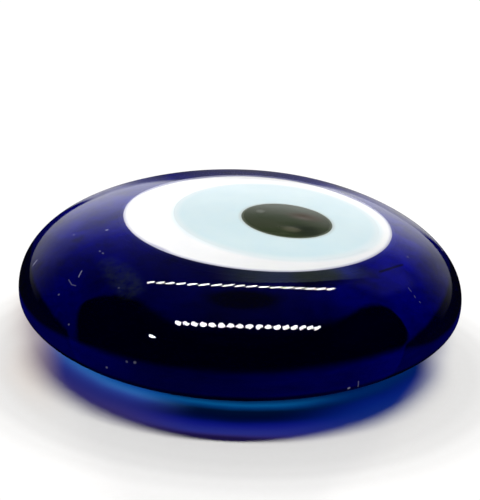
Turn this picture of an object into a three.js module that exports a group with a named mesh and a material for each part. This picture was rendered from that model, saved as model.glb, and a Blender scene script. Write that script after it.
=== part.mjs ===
// Evil eye ornament: a puck of hot-fused glass about 70 mm across, lying on its back.
// Four layers of coloured glass, each dropped hot on the one below and sunk into it:
//   cobalt_glass_body      the thick cobalt blue puck, with a dished pocket in its face
//   white_glass_layer      opal white drop in the cobalt's pocket
//   pale_blue_glass_layer  pale blue drop in the white's pocket (the iris)
//   dark_pupil_drop        dark drop in the pale blue's pocket (the pupil)
// Millimetres, +Z up. The origin is the centre of the flat foot, on the surface it rests on.
// The drops are a little off centre, as free-hand ones are, towards +X and -Y.
import * as THREE from "three";

// ---- the puck ----
const RIM_RADIUS = 35; // mean radius of the widest line
const RIM_HEIGHT = 4.34; // height of the widest line above the foot
const SHOULDER_HEIGHT = 14.77; // height the upper dome would have with no crown
const CROWN_RISE = 1.15; // extra rise over the middle
const CROWN_SPREAD = 0.45; // share of the radius
// dome profile: (1 - rho^UPPER_POWER)^(1/UPPER_ROOT)
const UPPER_POWER = 3.823;
const UPPER_ROOT = 2.113;
// under side, from the rim to the foot: the same form of curve
const LOWER_POWER = 1.63;
const LOWER_ROOT = 3.08;
const FOOT_SHARE = 0.55; // radius of the flat foot as a share of the rim's
// how far the dome's top stands off the foot's centre
const LEAN_X = -1.218;
const LEAN_Y = 0.508;
// out-of-round of the free-hand outline: lobe count, cosine term, sine term
const LOBES = [
  [2, -0.02, 0.0063],
  [3, 0, -0.008],
  [4, 0.0041, -0.0025],
];

// ---- the drops ----
// x, y: centre in plan; radiusX, radiusY: half-widths of the edge in the face;
// depth: from the face to the lowest point, over the centre.
// section: rows of [share of the radius, depth below the face], from the edge inwards.
// Where a share is over 1, the glass around has closed over the drop.
const WHITE = {
  x: 2.202,
  y: -0.69,
  radiusX: 20.755,
  radiusY: 19.838,
  depth: 4.7,
  section: [
    [1.02, 0.4],
    [1.028, 1.1],
    [1.0, 2.1],
    [0.92, 3.1],
    [0.76, 3.9],
    [0.52, 4.4],
    [0.26, 4.65],
  ],
};
const IRIS = {
  x: 5.03,
  y: -1.936,
  radiusX: 15.816,
  radiusY: 15.117,
  depth: 2.85,
  section: [
    [1.008, 0.35],
    [1.0, 0.9],
    [0.94, 1.6],
    [0.8, 2.2],
    [0.56, 2.6],
    [0.28, 2.8],
  ],
};
const PUPIL = {
  x: 6.53,
  y: -4.18,
  radiusX: 6.908,
  radiusY: 6.42,
  depth: 1.65,
  section: [
    [1.0, 0.35],
    [0.93, 0.9],
    [0.74, 1.35],
    [0.4, 1.6],
  ],
};
const PUPIL_SWELL = 0.22; // the pupil's middle stands this much proud of the dome

// ---- mesh fineness ----
const AROUND = 80; // points round each ring
const DOME_BANDS = 13; // white's edge to the rim
const DOME_SPACING_POWER = 0.97; // evens out the dome bands, which narrow towards the rim
const UNDER_BANDS = 9; // rim to the foot
const FACE_BANDS = 3; // across the white and the pale blue in the face
const PUPIL_BANDS = 4; // middle of the pupil's face to its edge
const LEAN_STEPS = 12; // rounds of solving for rho under the leaning dome

// ---- glass: colour and surface roughness ----
const COBALT_GLASS = { color: 0x0a0f8c, roughness: 0.05 };
const WHITE_GLASS = { color: 0xf4f5f7, roughness: 0.12 };
const PALE_BLUE_GLASS = { color: 0xc4dde6, roughness: 0.12 };
const DARK_GLASS = { color: 0x34352b, roughness: 0.12 };

// ---- surfaces of the puck ----
// rho runs from 0 at the middle to 1 on the widest line

// radius of the outline in a direction
function outlineRadius(angle) {
  const roundness = LOBES.reduce(
    (sum, [count, cosine, sine]) =>
      sum + cosine * Math.cos(count * angle) + sine * Math.sin(count * angle),
    1,
  );
  return RIM_RADIUS * roundness;
}

// falls from 1 at the middle to 0 on the widest line
const profile = (rho, power, root) => Math.pow(Math.max(0, 1 - Math.pow(rho, power)), 1 / root);

function domeHeight(rho) {
  const shoulder = (SHOULDER_HEIGHT - RIM_HEIGHT) * profile(rho, UPPER_POWER, UPPER_ROOT);
  // the bell curve is let down so that the crown fades out completely at the rim
  const bell = (share) => Math.exp(-((share / CROWN_SPREAD) ** 2));
  return RIM_HEIGHT + shoulder + CROWN_RISE * Math.max(0, bell(rho) - bell(1));
}

// rho at a point in plan. The lean depends on rho itself, so it is found by repetition.
function rhoAt(x, y) {
  let rho = Math.hypot(x, y) / RIM_RADIUS;
  for (let step = 0; step < LEAN_STEPS; step++) {
    const leanShare = Math.max(0, 1 - rho * rho);
    const uprightX = x - LEAN_X * leanShare;
    const uprightY = y - LEAN_Y * leanShare;
    const radius = outlineRadius(Math.atan2(uprightY, uprightX));
    rho = Math.min(1, Math.hypot(uprightX, uprightY) / radius);
  }
  return rho;
}

const domeAt = (x, y) => domeHeight(rhoAt(x, y));

// height of the under side: an even curve, let down so that it meets the flat foot
function underHeight(rho) {
  const rise = (share) => RIM_HEIGHT * (1 - profile(share, LOWER_POWER, LOWER_ROOT));
  return rise(rho) - (rise(FOOT_SHARE) * (1 - rho)) / (1 - FOOT_SHARE);
}

// ---- rings ----
// a ring from a function that gives the point [x, y, z] for an angle and an index
const makeRing = (pointAt) =>
  Array.from({ length: AROUND }, (_, i) => pointAt((Math.PI * 2 * i) / AROUND, i));

// level ring shaped like the puck's outline
function outlineRing(rho, z) {
  return makeRing((angle) => {
    const radius = outlineRadius(angle) * rho;
    return [radius * Math.cos(angle), radius * Math.sin(angle), z];
  });
}

// ring of a drop at a share of its radius, raised from the dome's surface by `lift`
function dropRing(drop, share, lift) {
  return makeRing((angle) => {
    const x = drop.x + drop.radiusX * share * Math.cos(angle);
    const y = drop.y + drop.radiusY * share * Math.sin(angle);
    return [x, y, domeAt(x, y) + lift];
  });
}

// rings on the dome between two others, without those two;
// `spacing` turns the share of bands passed into the share of the way across
function ringsBetween(inner, outer, bands, spacing = (share) => share) {
  const rings = [];
  for (let k = 1; k < bands; k++) {
    const t = spacing(k / bands);
    rings.push(
      makeRing((_, i) => {
        const x = inner[i][0] + (outer[i][0] - inner[i][0]) * t;
        const y = inner[i][1] + (outer[i][1] - inner[i][1]) * t;
        return [x, y, domeAt(x, y)];
      }),
    );
  }
  return rings;
}

// a pocket: its edge in the face, its rings from there to the floor, and its lowest point
function makePocket(drop) {
  const edge = dropRing(drop, 1, 0);
  const wall = drop.section.map(([share, depth]) => dropRing(drop, share, -depth));
  return {
    edge,
    rings: [edge, ...wall],
    tip: [drop.x, drop.y, domeAt(drop.x, drop.y) - drop.depth],
  };
}

// ---- closed bodies ----
// Bands between rings, with fans at the poles.
// Rings are stacked from the top pole to the bottom pole, down the outside.
// The first `pocketBands` bands are a pocket's wall: their squares are split the same way as
// those of the drop that fills it, so the two fused faces are one and the same surface.
function closedBody(topPole, rings, bottomPole, pocketBands = 0) {
  const positions = [];
  const addTriangle = (a, b, c) => positions.push(...a, ...b, ...c);
  const first = rings[0];
  const last = rings[rings.length - 1];

  for (let i = 0; i < AROUND; i++) addTriangle(topPole, first[i], first[(i + 1) % AROUND]);
  for (let k = 0; k + 1 < rings.length; k++) {
    const upper = rings[k];
    const lower = rings[k + 1];
    for (let i = 0; i < AROUND; i++) {
      const j = (i + 1) % AROUND;
      if (k < pocketBands) {
        addTriangle(upper[i], lower[i], upper[j]);
        addTriangle(upper[j], lower[i], lower[j]);
      } else {
        addTriangle(upper[i], lower[i], lower[j]);
        addTriangle(upper[i], lower[j], upper[j]);
      }
    }
  }
  for (let i = 0; i < AROUND; i++) addTriangle(bottomPole, last[(i + 1) % AROUND], last[i]);

  const geometry = new THREE.BufferGeometry();
  geometry.setAttribute("position", new THREE.Float32BufferAttribute(positions, 3));
  geometry.computeVertexNormals();
  return geometry;
}

// body with a pocket in its face: from the pocket's floor out to its edge, then `outerRings`
function pocketedBody(pocket, outerRings, bottomPole) {
  const floorToEdge = [...pocket.rings].reverse();
  const pocketBands = pocket.rings.length - 1;
  return closedBody(pocket.tip, [...floorToEdge, ...outerRings], bottomPole, pocketBands);
}

// ---- the pieces ----
// cobalt body: pocket, dome, rim, under side, foot
function cobaltBody(pocket) {
  const rim = outlineRing(1, RIM_HEIGHT);
  const spacing = (share) => Math.sin((Math.PI / 2) * share) ** DOME_SPACING_POWER;
  const dome = ringsBetween(pocket.edge, rim, DOME_BANDS, spacing);
  const underside = [];
  for (let k = 1; k < UNDER_BANDS; k++) {
    const inward = 1 - Math.cos((Math.PI / 2) * (k / UNDER_BANDS));
    const rho = 1 - (1 - FOOT_SHARE) * inward;
    underside.push(outlineRing(rho, underHeight(rho)));
  }
  const foot = outlineRing(FOOT_SHARE, 0);
  return pocketedBody(pocket, [...dome, rim, ...underside, foot], [0, 0, 0]);
}

// a layer that fills one pocket and has the next drop's pocket in its own face
function layerBody(filled, pocket) {
  const face = ringsBetween(pocket.edge, filled.edge, FACE_BANDS);
  return pocketedBody(pocket, [...face, ...filled.rings], filled.tip);
}

// pupil: a lens, swelling a little above the dome
function pupilBody(filled) {
  const top = [PUPIL.x, PUPIL.y, domeAt(PUPIL.x, PUPIL.y) + PUPIL_SWELL];
  const face = [];
  for (let k = 1; k < PUPIL_BANDS; k++) {
    const share = k / PUPIL_BANDS;
    face.push(dropRing(PUPIL, share, PUPIL_SWELL * (1 - share * share)));
  }
  return closedBody(top, [...face, ...filled.rings], filled.tip);
}

// ---- the assembly ----
const group = new THREE.Group();
group.name = "evil_eye_ornament";

function addPiece(name, geometry, glass) {
  const material = new THREE.MeshStandardMaterial({ ...glass, metalness: 0 });
  const mesh = new THREE.Mesh(geometry, material);
  mesh.name = name;
  group.add(mesh);
}

// each pocket is shared by the two pieces fused together there
const whitePocket = makePocket(WHITE);
const irisPocket = makePocket(IRIS);
const pupilPocket = makePocket(PUPIL);

addPiece("cobalt_glass_body", cobaltBody(whitePocket), COBALT_GLASS);
addPiece("white_glass_layer", layerBody(whitePocket, irisPocket), WHITE_GLASS);
addPiece("pale_blue_glass_layer", layerBody(irisPocket, pupilPocket), PALE_BLUE_GLASS);
addPiece("dark_pupil_drop", pupilBody(pupilPocket), DARK_GLASS);

export default group;
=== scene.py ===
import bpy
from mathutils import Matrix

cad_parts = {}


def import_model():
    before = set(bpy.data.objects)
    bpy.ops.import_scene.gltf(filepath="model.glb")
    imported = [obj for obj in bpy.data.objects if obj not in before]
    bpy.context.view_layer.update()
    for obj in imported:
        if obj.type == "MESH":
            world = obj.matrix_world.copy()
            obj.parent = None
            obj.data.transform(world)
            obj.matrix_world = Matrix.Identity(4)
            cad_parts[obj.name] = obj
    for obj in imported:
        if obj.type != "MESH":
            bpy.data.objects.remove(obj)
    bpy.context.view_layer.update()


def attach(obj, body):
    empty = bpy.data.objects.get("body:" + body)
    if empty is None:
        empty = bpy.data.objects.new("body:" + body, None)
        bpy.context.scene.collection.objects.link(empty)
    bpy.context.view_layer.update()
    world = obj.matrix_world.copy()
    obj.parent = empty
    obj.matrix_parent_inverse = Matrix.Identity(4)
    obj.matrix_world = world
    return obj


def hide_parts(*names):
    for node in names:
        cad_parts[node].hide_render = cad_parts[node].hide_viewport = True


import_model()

import math

import bmesh
import bpy
import numpy as np
from mathutils import Matrix, Vector

MM = 0.001
TAU = 2 * math.pi

# ------------------------------------------------------------------ the shape
# The same curves as the CAD part, in millimetres, drawn finer.
RIM_RADIUS = 35.0
RIM_HEIGHT = 4.34
SHOULDER_HEIGHT = 14.77
CROWN = 1.15
CROWN_SPREAD = 0.45
UPPER_POWER, UPPER_ROOT = 3.823, 2.113
LOWER_POWER, LOWER_ROOT = 1.63, 3.08
FOOT = 0.55
LEAN_X, LEAN_Y = -1.218, 0.508
LOBES = ((2, -0.02, 0.0063), (3, 0.0, -0.008), (4, 0.0041, -0.0025))
WHITE = dict(x=2.202, y=-0.69, rx=20.755, ry=19.838)
IRIS = dict(x=5.03, y=-1.936, rx=15.816, ry=15.117)
PUPIL = dict(x=6.53, y=-4.18, rx=6.908, ry=6.42)
WHITE_SECTION = [(1.0, 0.0), (1.02, 0.4), (1.028, 1.1), (1.0, 2.1), (0.92, 3.1), (0.76, 3.9), (0.52, 4.4), (0.26, 4.65), (0.0, 4.7)]
IRIS_SECTION = [(1.0, 0.0), (1.008, 0.35), (1.0, 0.9), (0.94, 1.6), (0.8, 2.2), (0.56, 2.6), (0.28, 2.8), (0.0, 2.85)]
PUPIL_SECTION = [(1.0, 0.0), (1.0, 0.35), (0.93, 0.9), (0.74, 1.35), (0.4, 1.6), (0.0, 1.65)]
PUPIL_SWELL = 0.22
AROUND = 240

rng = np.random.default_rng(7)


def lobe(a):
    s = np.ones_like(a)
    for n, c, d in LOBES:
        s = s + c * np.cos(n * a) + d * np.sin(n * a)
    return s


def dome_height(rho):
    g = np.power(np.maximum(0, 1 - np.power(np.minimum(1, rho), UPPER_POWER)), 1 / UPPER_ROOT)
    fade = np.exp(-((rho / CROWN_SPREAD) ** 2)) - math.exp(-((1 / CROWN_SPREAD) ** 2))
    return RIM_HEIGHT + (SHOULDER_HEIGHT - RIM_HEIGHT) * g + CROWN * np.maximum(0, fade)


def rho_at(x, y):
    rho = np.hypot(x, y) / RIM_RADIUS
    for _ in range(14):
        k = np.maximum(0, 1 - rho * rho)
        px, py = x - LEAN_X * k, y - LEAN_Y * k
        rho = np.minimum(1, np.hypot(px, py) / (RIM_RADIUS * lobe(np.arctan2(py, px))))
    return rho


# Hand-made unevenness of the fire-polished face: long soft swells, hundredths of a millimetre high.
_waves = []
for wavelength, height, count in ((30.0, 0.010, 5), (14.0, 0.0014, 6), (6.5, 0.0002, 8)):
    for _ in range(count):
        ang, ph = rng.uniform(0, TAU), rng.uniform(0, TAU)
        k = TAU / (wavelength * rng.uniform(0.8, 1.25))
        _waves.append((k * math.cos(ang), k * math.sin(ang), ph, height))


def swell_of_face(x, y, rho):
    u = np.zeros_like(x)
    for kx, ky, ph, h in _waves:
        u = u + h * np.sin(kx * x + ky * y + ph)
    return u * np.clip((1 - rho) * 6, 0, 1)


def face_z(x, y):
    rho = rho_at(x, y)
    return dome_height(rho) + swell_of_face(x, y, rho) - 0.05


def smooth_section(section, n):
    """A smooth curve through the points of a section, n rings."""
    p = np.array(section, float)
    t = np.arange(len(p), dtype=float)
    u = np.linspace(0, len(p) - 1, n)
    out = np.zeros((n, 2))
    m = np.zeros_like(p)
    m[1:-1] = (p[2:] - p[:-2]) / 2
    m[0] = p[1] - p[0]
    m[-1] = (p[-1] - p[-2]) * np.array([1, 0])
    for i, v in enumerate(u):
        k = min(int(v), len(p) - 2)
        s = v - k
        h00, h10, h01, h11 = 2 * s**3 - 3 * s**2 + 1, s**3 - 2 * s**2 + s, -2 * s**3 + 3 * s**2, s**3 - s**2
        out[i] = h00 * p[k] + h10 * m[k] + h01 * p[k + 1] + h11 * m[k + 1]
    return out


ANG = np.arange(AROUND) * TAU / AROUND


def ring(drop, share, dz):
    x = drop["x"] + drop["rx"] * share * np.cos(ANG)
    y = drop["y"] + drop["ry"] * share * np.sin(ANG)
    return np.c_[x, y, face_z(x, y) + dz]


def pocket_rings(drop, section, n):
    """Rings from the edge in the face down the wall to near the middle of the floor, and the middle point."""
    sec = smooth_section(section, n)
    rings = [ring(drop, s, -d) for s, d in sec[:-1]]
    tip = np.array([drop["x"], drop["y"], float(face_z(np.array([drop["x"]]), np.array([drop["y"]]))[0] - sec[-1][1])])
    return rings, tip


def rings_between(inner, outer, n):
    out = []
    for k in range(1, n):
        t = k / n
        x = inner[:, 0] + (outer[:, 0] - inner[:, 0]) * t
        y = inner[:, 1] + (outer[:, 1] - inner[:, 1]) * t
        out.append(np.c_[x, y, face_z(x, y)])
    return out


def body_mesh(name, top, rings, bottom, slots):
    """Closed body: top pole, rings from top to bottom down the outside, bottom pole. slots[k] is the
    material index of the band above ring k; the last entry is that of the bottom fan."""
    bm = bmesh.new()
    n = AROUND
    pole_t = bm.verts.new(Vector(top) * MM)
    rows = [[bm.verts.new((p[0] * MM, p[1] * MM, p[2] * MM)) for p in r] for r in rings]
    pole_b = bm.verts.new(Vector(bottom) * MM)
    for i in range(n):
        f = bm.faces.new((pole_t, rows[0][i], rows[0][(i + 1) % n]))
        f.material_index = slots[0]
    for k in range(len(rows) - 1):
        u, v = rows[k], rows[k + 1]
        for i in range(n):
            j = (i + 1) % n
            f = bm.faces.new((u[i], v[i], v[j], u[j]))
            f.material_index = slots[k + 1]
    for i in range(n):
        f = bm.faces.new((pole_b, rows[-1][(i + 1) % n], rows[-1][i]))
        f.material_index = slots[-1]
    for f in bm.faces:
        f.smooth = True
    for e in bm.edges:
        if len({f.material_index for f in e.link_faces}) > 1:
            e.smooth = False
    bm.normal_update()
    me = bpy.data.meshes.new(name)
    bm.to_mesh(me)
    bm.free()
    ob = bpy.data.objects.new(name, me)
    bpy.context.scene.collection.objects.link(ob)
    return ob


white_rings, white_tip = pocket_rings(WHITE, WHITE_SECTION, 26)
iris_rings, iris_tip = pocket_rings(IRIS, IRIS_SECTION, 22)
pupil_rings, pupil_tip = pocket_rings(PUPIL, PUPIL_SECTION, 18)

# ---- cobalt body
edge = white_rings[0]
dome = []
DOME_BANDS = 64
for k in range(1, DOME_BANDS + 1):
    t = math.sin(math.pi / 2 * k / DOME_BANDS)
    s = lobe(ANG) * RIM_RADIUS
    x = edge[:, 0] + (s * np.cos(ANG) - edge[:, 0]) * t
    y = edge[:, 1] + (s * np.sin(ANG) - edge[:, 1]) * t
    z = face_z(x, y)
    if k == DOME_BANDS:
        z = np.full_like(x, RIM_HEIGHT)
    else:
        # the small allowance for the swells fades out at the rim
        rho = rho_at(x, y)
        z = z + 0.05 * np.clip((rho - 0.8) * 5, 0, 1)
    dome.append(np.c_[x, y, z])


def under_z(rho):
    rise = lambda r: RIM_HEIGHT * (1 - np.power(np.maximum(0, 1 - np.power(r, LOWER_POWER)), 1 / LOWER_ROOT))
    return rise(rho) - rise(np.array(FOOT)) * (1 - rho) / (1 - FOOT)


# The under side was pressed on a plate: a flat ring it stands on, faintly dished and pebbled inside.
_pebbles = []
for wavelength, height, count in ((9.0, 0.010, 8), (3.4, 0.006, 12)):
    for _ in range(count):
        ang, ph = rng.uniform(0, TAU), rng.uniform(0, TAU)
        k = TAU / (wavelength * rng.uniform(0.75, 1.3))
        _pebbles.append((k * math.cos(ang), k * math.sin(ang), ph, height))


def pebble(x, y):
    u = np.zeros_like(x)
    for kx, ky, ph, h in _pebbles:
        u = u + h * np.sin(kx * x + ky * y + ph)
    return u


below = []
UNDER_BANDS = 34
for k in range(1, UNDER_BANDS + 1):
    rho = FOOT if k == UNDER_BANDS else 1 - (1 - FOOT) * (1 - math.cos(math.pi / 2 * k / UNDER_BANDS))
    s = lobe(ANG) * RIM_RADIUS * rho
    x, y = s * np.cos(ANG), s * np.sin(ANG)
    z = under_z(np.full_like(x, rho))
    fade = np.clip((1 - rho) * 8, 0, 1) * np.clip((rho - FOOT) * 12, 0, 1)
    z = np.maximum(0, z + pebble(x, y) * 1.4 * fade)
    below.append(np.c_[x, y, z])
FOOT_BANDS = 22
for k in range(1, FOOT_BANDS):
    rho = FOOT * (1 - k / FOOT_BANDS)
    s = lobe(ANG) * RIM_RADIUS * rho
    x, y = s * np.cos(ANG), s * np.sin(ANG)
    dish = np.clip((FOOT - rho) / FOOT * 5, 0, 1)
    z = np.maximum(0, (0.10 + pebble(x, y) * 1.2) * dish)
    below.append(np.c_[x, y, z])
centre_z = 0.10

pocket_up = white_rings[::-1]
rings_all = pocket_up + dome + below
slots = [1] + [1] * (len(pocket_up) - 1) + [0] * (len(dome) + len(below)) + [0]
cobalt = body_mesh("cobalt_glass_body_look", white_tip, rings_all, (0, 0, centre_z), slots)

# ---- white layer
top_rings = rings_between(iris_rings[0], edge, 10)
r = iris_rings[::-1] + top_rings + white_rings
slots = [1] + [1] * (len(iris_rings) - 1) + [0] * (len(top_rings) + 1) + [1] * (len(white_rings) - 1) + [1]
white = body_mesh("white_glass_layer_look", iris_tip, r, white_tip, slots)

# ---- pale blue layer
top_rings = rings_between(pupil_rings[0], iris_rings[0], 14)
r = pupil_rings[::-1] + top_rings + iris_rings
slots = [1] + [1] * (len(pupil_rings) - 1) + [0] * (len(top_rings) + 1) + [1] * (len(iris_rings) - 1) + [1]
iris = body_mesh("pale_blue_glass_layer_look", pupil_tip, r, iris_tip, slots)

# ---- pupil, with the small crater a burst bubble left in it
CRATER = (8.9, -2.95)


def pupil_extra(x, y, share):
    d = np.hypot((x - CRATER[0]) / 1.5, y - CRATER[1])
    pit = -0.03 * np.exp(-((d / 0.9) ** 2))
    ridge = 0.04 * np.exp(-(((x - 7.1) / 1.3) ** 2) - (((y + 7.9) / 0.7) ** 2))
    return PUPIL_SWELL * (1 - share**2) + (pit + ridge) * np.clip((1 - share) * 5, 0, 1)


face = []
PUPIL_BANDS = 40
for k in range(1, PUPIL_BANDS):
    share = k / PUPIL_BANDS
    p = ring(PUPIL, share, 0.0)
    p[:, 2] += pupil_extra(p[:, 0], p[:, 1], share)
    face.append(p)
cx, cy = np.array([PUPIL["x"]]), np.array([PUPIL["y"]])
top = (PUPIL["x"], PUPIL["y"], float(face_z(cx, cy)[0] + pupil_extra(cx, cy, 0.0)[0]))
r = face + pupil_rings
slots = [0] * (len(face) + 1) + [1] * (len(pupil_rings) - 1) + [1]
pupil = body_mesh("dark_pupil_drop_look", top, r, pupil_tip, slots)

PIECES = (
    (cobalt, "cobalt_glass_body", "cobalt_glass"),
    (white, "white_glass_layer", "white_glass"),
    (iris, "pale_blue_glass_layer", "pale_blue_glass"),
    (pupil, "dark_pupil_drop", "dark_glass"),
)
for ob in (white, iris, pupil):
    ob.visible_shadow = False  # what the drops hold back is painted into the cobalt's shadow-ray tint, with the painted light pool
for ob, node, slot_name in PIECES:
    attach(ob, "root")
    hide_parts(node)


# ------------------------------------------------------------------ node helpers
class Nodes:
    def __init__(self, tree):
        self.t = tree

    def new(self, kind, **kw):
        n = self.t.nodes.new(kind)
        for k, v in kw.items():
            setattr(n, k, v)
        return n

    def put(self, sock, v):
        if isinstance(v, bpy.types.NodeSocket):
            self.t.links.new(v, sock)
        elif v is not None:
            if sock.type == "RGBA" and not hasattr(v, "__len__"):
                v = (v, v, v, 1)
            elif sock.type == "RGBA" and len(v) == 3:
                v = tuple(v) + (1,)
            elif sock.type == "VECTOR" and not hasattr(v, "__len__"):
                v = (v, v, v)
            sock.default_value = v

    def math(self, op, a, b=None, c=None, clamp=False):
        n = self.new("ShaderNodeMath", operation=op, use_clamp=clamp)
        for s, v in zip(n.inputs, (a, b, c)):
            self.put(s, v)
        return n.outputs[0]

    def vmath(self, op, a, b=None, c=None, scale=None):
        n = self.new("ShaderNodeVectorMath", operation=op)
        for s, v in zip(n.inputs, (a, b, c)):
            self.put(s, v)
        if scale is not None:
            self.put(n.inputs["Scale"], scale)
        return n.outputs["Value"] if op in ("LENGTH", "DOT_PRODUCT", "DISTANCE") else n.outputs["Vector"]

    def mix(self, fac, a, b, blend="MIX"):
        n = self.new("ShaderNodeMix", data_type="RGBA", blend_type=blend)
        self.put(n.inputs[0], fac)
        self.put(n.inputs[6], a)
        self.put(n.inputs[7], b)
        return n.outputs[2]

    def mixf(self, fac, a, b):
        n = self.new("ShaderNodeMix", data_type="FLOAT")
        self.put(n.inputs[0], fac)
        self.put(n.inputs[2], a)
        self.put(n.inputs[3], b)
        return n.outputs[0]

    def ramp(self, fac, stops, interp="LINEAR"):
        n = self.new("ShaderNodeValToRGB")
        n.color_ramp.interpolation = interp
        e = n.color_ramp.elements
        while len(e) < len(stops):
            e.new(0.5)
        for el, (p, c) in zip(e, stops):
            el.position = p
            el.color = (c, c, c, 1) if not hasattr(c, "__len__") else (tuple(c) + (1,))[:4]
        self.put(n.inputs[0], fac)
        return n.outputs[0]

    def remap(self, v, a, b, c=0.0, d=1.0, smooth=False):
        n = self.new("ShaderNodeMapRange", interpolation_type="SMOOTHSTEP" if smooth else "LINEAR", clamp=True)
        for s, x in zip(n.inputs, (v, a, b, c, d)):
            self.put(s, x)
        return n.outputs[0]

    def noise(self, vec, scale, detail=2.0, rough=0.5, distortion=0.0):
        n = self.new("ShaderNodeTexNoise")
        self.put(n.inputs["Vector"], vec)
        n.inputs["Scale"].default_value = scale
        n.inputs["Detail"].default_value = detail
        n.inputs["Roughness"].default_value = rough
        n.inputs["Distortion"].default_value = distortion
        return n.outputs["Fac"]

    def bump(self, height, strength, distance, normal=None):
        n = self.new("ShaderNodeBump")
        n.inputs["Strength"].default_value = strength
        n.inputs["Distance"].default_value = distance
        self.put(n.inputs["Height"], height)
        if normal is not None:
            self.put(n.inputs["Normal"], normal)
        return n.outputs["Normal"]


def new_material(name):
    m = bpy.data.materials.new(name)
    m.use_nodes = True
    m.node_tree.nodes.clear()
    return m, Nodes(m.node_tree)


def out_node(nd, surface=None, volume=None):
    o = nd.new("ShaderNodeOutputMaterial")
    if surface is not None:
        nd.t.links.new(surface, o.inputs["Surface"])
    if volume is not None:
        nd.t.links.new(volume, o.inputs["Volume"])


def principled(nd, **kw):
    n = nd.new("ShaderNodeBsdfPrincipled")
    for k, v in kw.items():
        nd.put(n.inputs[k], v)
    return n


def object_mm(nd):
    """Position on the piece in millimetres, in the row frame."""
    tc = nd.new("ShaderNodeTexCoord")
    return nd.vmath("SCALE", tc.outputs["Object"], scale=1000.0)


def share_of(nd, pos, drop):
    """0 at a drop's middle and 1 on its edge in the face."""
    c = nd.vmath("SUBTRACT", pos, (drop["x"], drop["y"], 0))
    c = nd.vmath("MULTIPLY", c, (1 / drop["rx"], 1 / drop["ry"], 0))
    return nd.vmath("LENGTH", c)


# nicks and dust on the cobalt: the two ends (mm), half width (mm), strength
MARKS = (
    ((-22.07, -19.88, 11.81), (-21.86, -18.78, 12.21), 0.07, 0.9),
    ((-20.12, -8.34, 14.18), (-20.03, -8.37, 14.19), 0.14, 0.8),
    ((-20.08, -14.66, 13.52), (-19.98, -14.82, 13.52), 0.10, 0.5),
    ((-19.54, -15.33, 13.53), (-19.44, -15.48, 13.52), 0.10, 0.5),
    ((-16.03, -23.76, 12.33), (-15.97, -23.78, 12.34), 0.10, 0.3),
    ((-23.47, -19.81, 11.25), (-22.83, -20.98, 11.09), 0.06, 0.4),
    ((-22.83, -20.98, 11.09), (-22.19, -21.44, 11.19), 0.06, 0.4),
    ((-24.50, -21.63, 9.81), (-24.44, -21.67, 9.83), 0.10, 0.4),
    ((-22.26, -26.27, 7.84), (-22.19, -26.32, 7.87), 0.09, 0.35),
    ((-30.24, -12.02, 9.65), (-29.89, -11.56, 10.10), 0.16, 0.9),
    ((-25.07, -8.17, 13.06), (-24.98, -8.21, 13.08), 0.12, 0.5),
    ((24.17, -9.95, 12.80), (24.25, -9.90, 12.78), 0.10, 0.4),
    ((23.17, -17.93, 11.56), (23.54, -18.49, 11.24), 0.05, 0.4),
    ((23.91, -18.98, 10.89), (24.02, -19.26, 10.72), 0.05, 0.4),
    ((24.57, -19.57, 10.30), (24.71, -19.64, 10.18), 0.05, 0.4),
    ((31.50, 0.08, 9.99), (31.58, 0.04, 9.93), 0.12, 0.7),
    ((-12.72, -32.91, 6.56), (-12.64, -32.93, 6.58), 0.12, 0.35),
    ((-13.78, -32.52, 6.41), (-13.71, -32.56, 6.39), 0.10, 0.25),
    ((-16.47, -31.52, 4.80), (-16.42, -31.55, 4.82), 0.10, 0.4),
    ((14.25, -32.03, 3.75), (14.33, -31.98, 3.75), 0.12, 0.7),
    ((15.50, -31.46, 4.45), (15.53, -31.36, 3.65), 0.06, 0.35),
)
# dark threads: bubbles drawn out long inside the skin of the cobalt
THREADS = (
    ((19.35, -16.36, 13.08), (23.00, -12.83, 12.75), 0.16, 0.75),
    ((11.95, -21.80, 13.28), (12.63, -21.71, 13.20), 0.12, 0.8),
)


# a scuffed, hazy place on the left shoulder
SCUFF = (
    ((-18.25, -18.12, 13.3), (-16.0, -21.2, 13.05), 1.0, 0.8),
    ((-16.82, -20.24, 13.14), (-14.26, -24.11, 12.59), 1.3, 1.0),
)


def near(nd, pos, marks):
    """Sum over the marks: strength on a mark, fading to 0 at twice its half width."""
    total = None
    for a, b, half, strength in marks:
        ab = [q - p for p, q in zip(a, b)]
        ll = sum(v * v for v in ab)
        rel = nd.vmath("SUBTRACT", pos, a)
        t = nd.math("MULTIPLY", nd.vmath("DOT_PRODUCT", rel, tuple(ab)), 1 / ll, clamp=True)
        on = nd.vmath("SCALE", tuple(ab), scale=t)
        d = nd.vmath("LENGTH", nd.vmath("SUBTRACT", rel, on))
        w = nd.remap(d, half * 2, half * 0.6, 0.0, strength, smooth=True)
        total = w if total is None else nd.math("MAXIMUM", total, w)
    return total

# ------------------------------------------------------------------ cobalt glass
GLASS_IOR = 1.52
ABSORB = (1150.0, 620.0, 150.0)  # per metre, red, green, blue


def front_angle(nd, pos):
    """Degrees round the puck from the -Y side, + towards +X."""
    p = nd.new("ShaderNodeSeparateXYZ")
    nd.put(p.inputs[0], pos)
    a = nd.math("ARCTAN2", p.outputs["X"], nd.math("MULTIPLY", p.outputs["Y"], -1.0))
    return nd.math("MULTIPLY", a, 180 / math.pi), p.outputs["Z"]


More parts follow.
